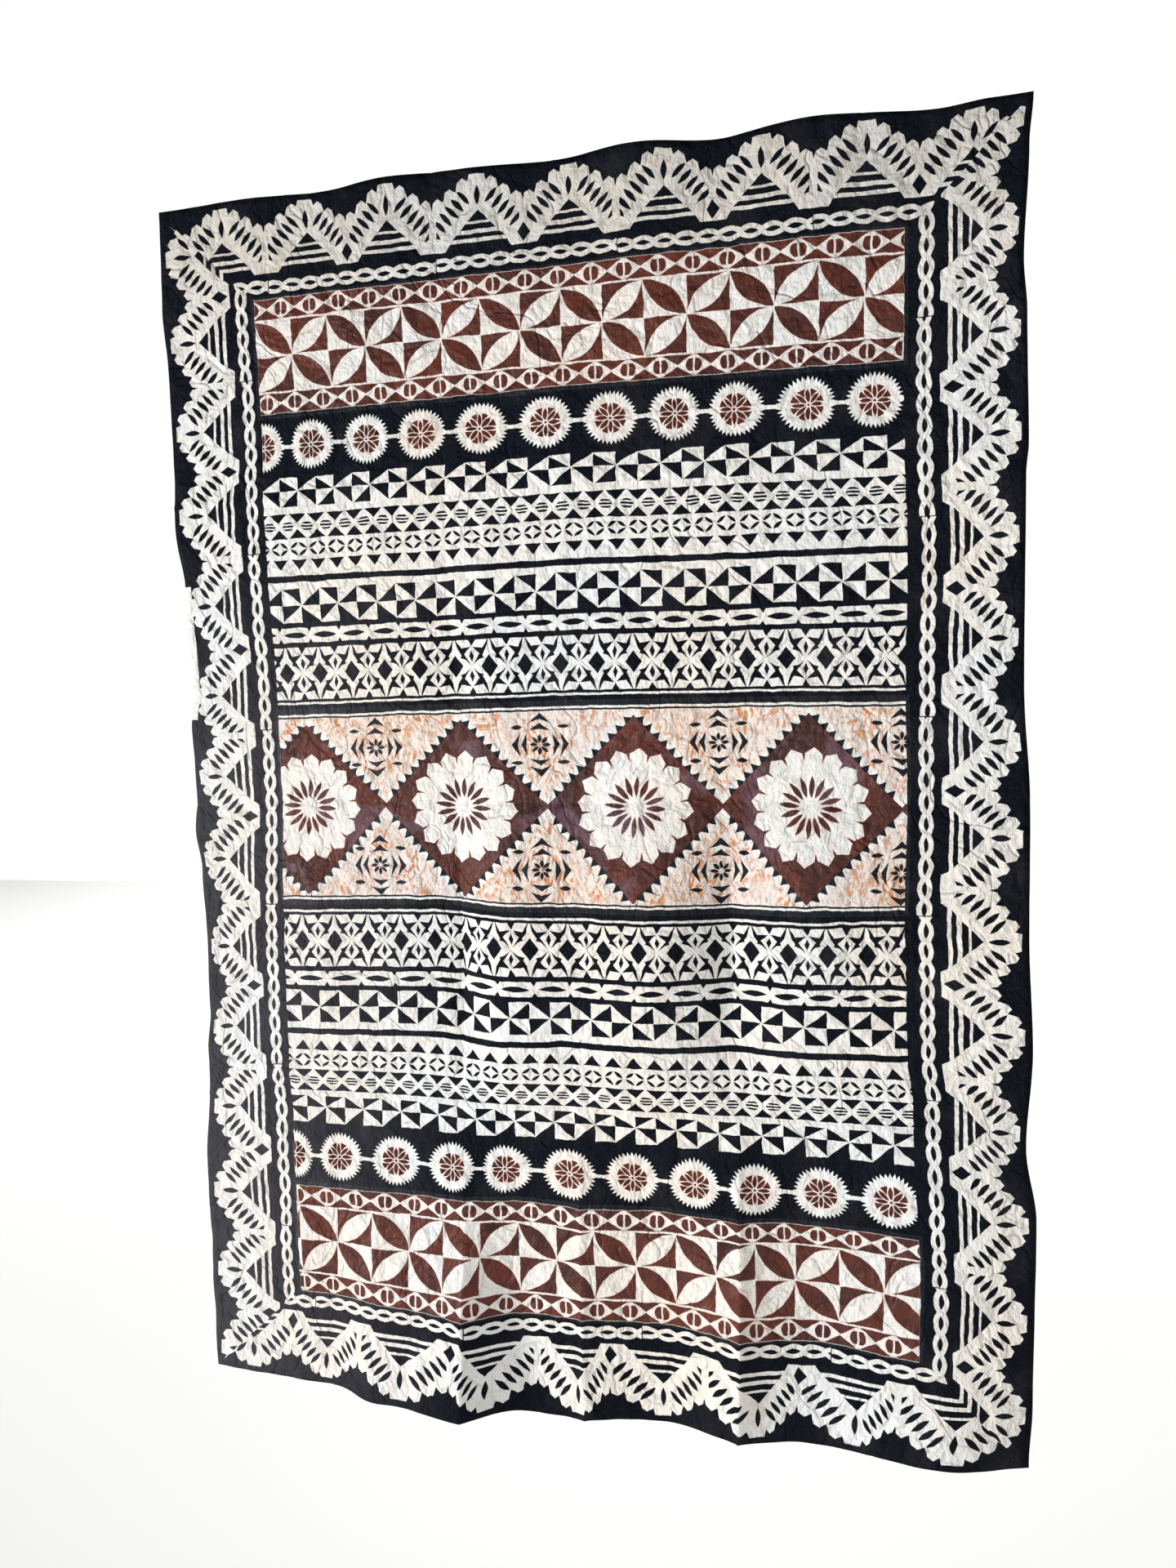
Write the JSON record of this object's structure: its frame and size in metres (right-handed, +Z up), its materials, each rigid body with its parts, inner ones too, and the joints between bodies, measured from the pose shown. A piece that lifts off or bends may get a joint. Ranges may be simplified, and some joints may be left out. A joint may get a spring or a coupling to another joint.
{
  "type": "tapa cloth",
  "caption": "Rectangular sheet of stencilled bark cloth that hangs from its straight top edge, creased in panels, with soft ridges that grow down to a wavy hem.",
  "frame": {"origin": "middle of the top edge, on the sheet, where the cloth is held up", "axes": "+Z up along the cloth's length, +X to the right as seen from its printed face, and the printed face looks towards -Y"},
  "size_m": [1.2608, 0.0862, 1.833],
  "materials": {
    "bark_cloth": "matte beaten bark cloth, cream, with stencilled black and glossier brown prints"
  },
  "bodies": {
    "root": {"tapa_cloth": "bark_cloth"}
  },
  "joints": []
}
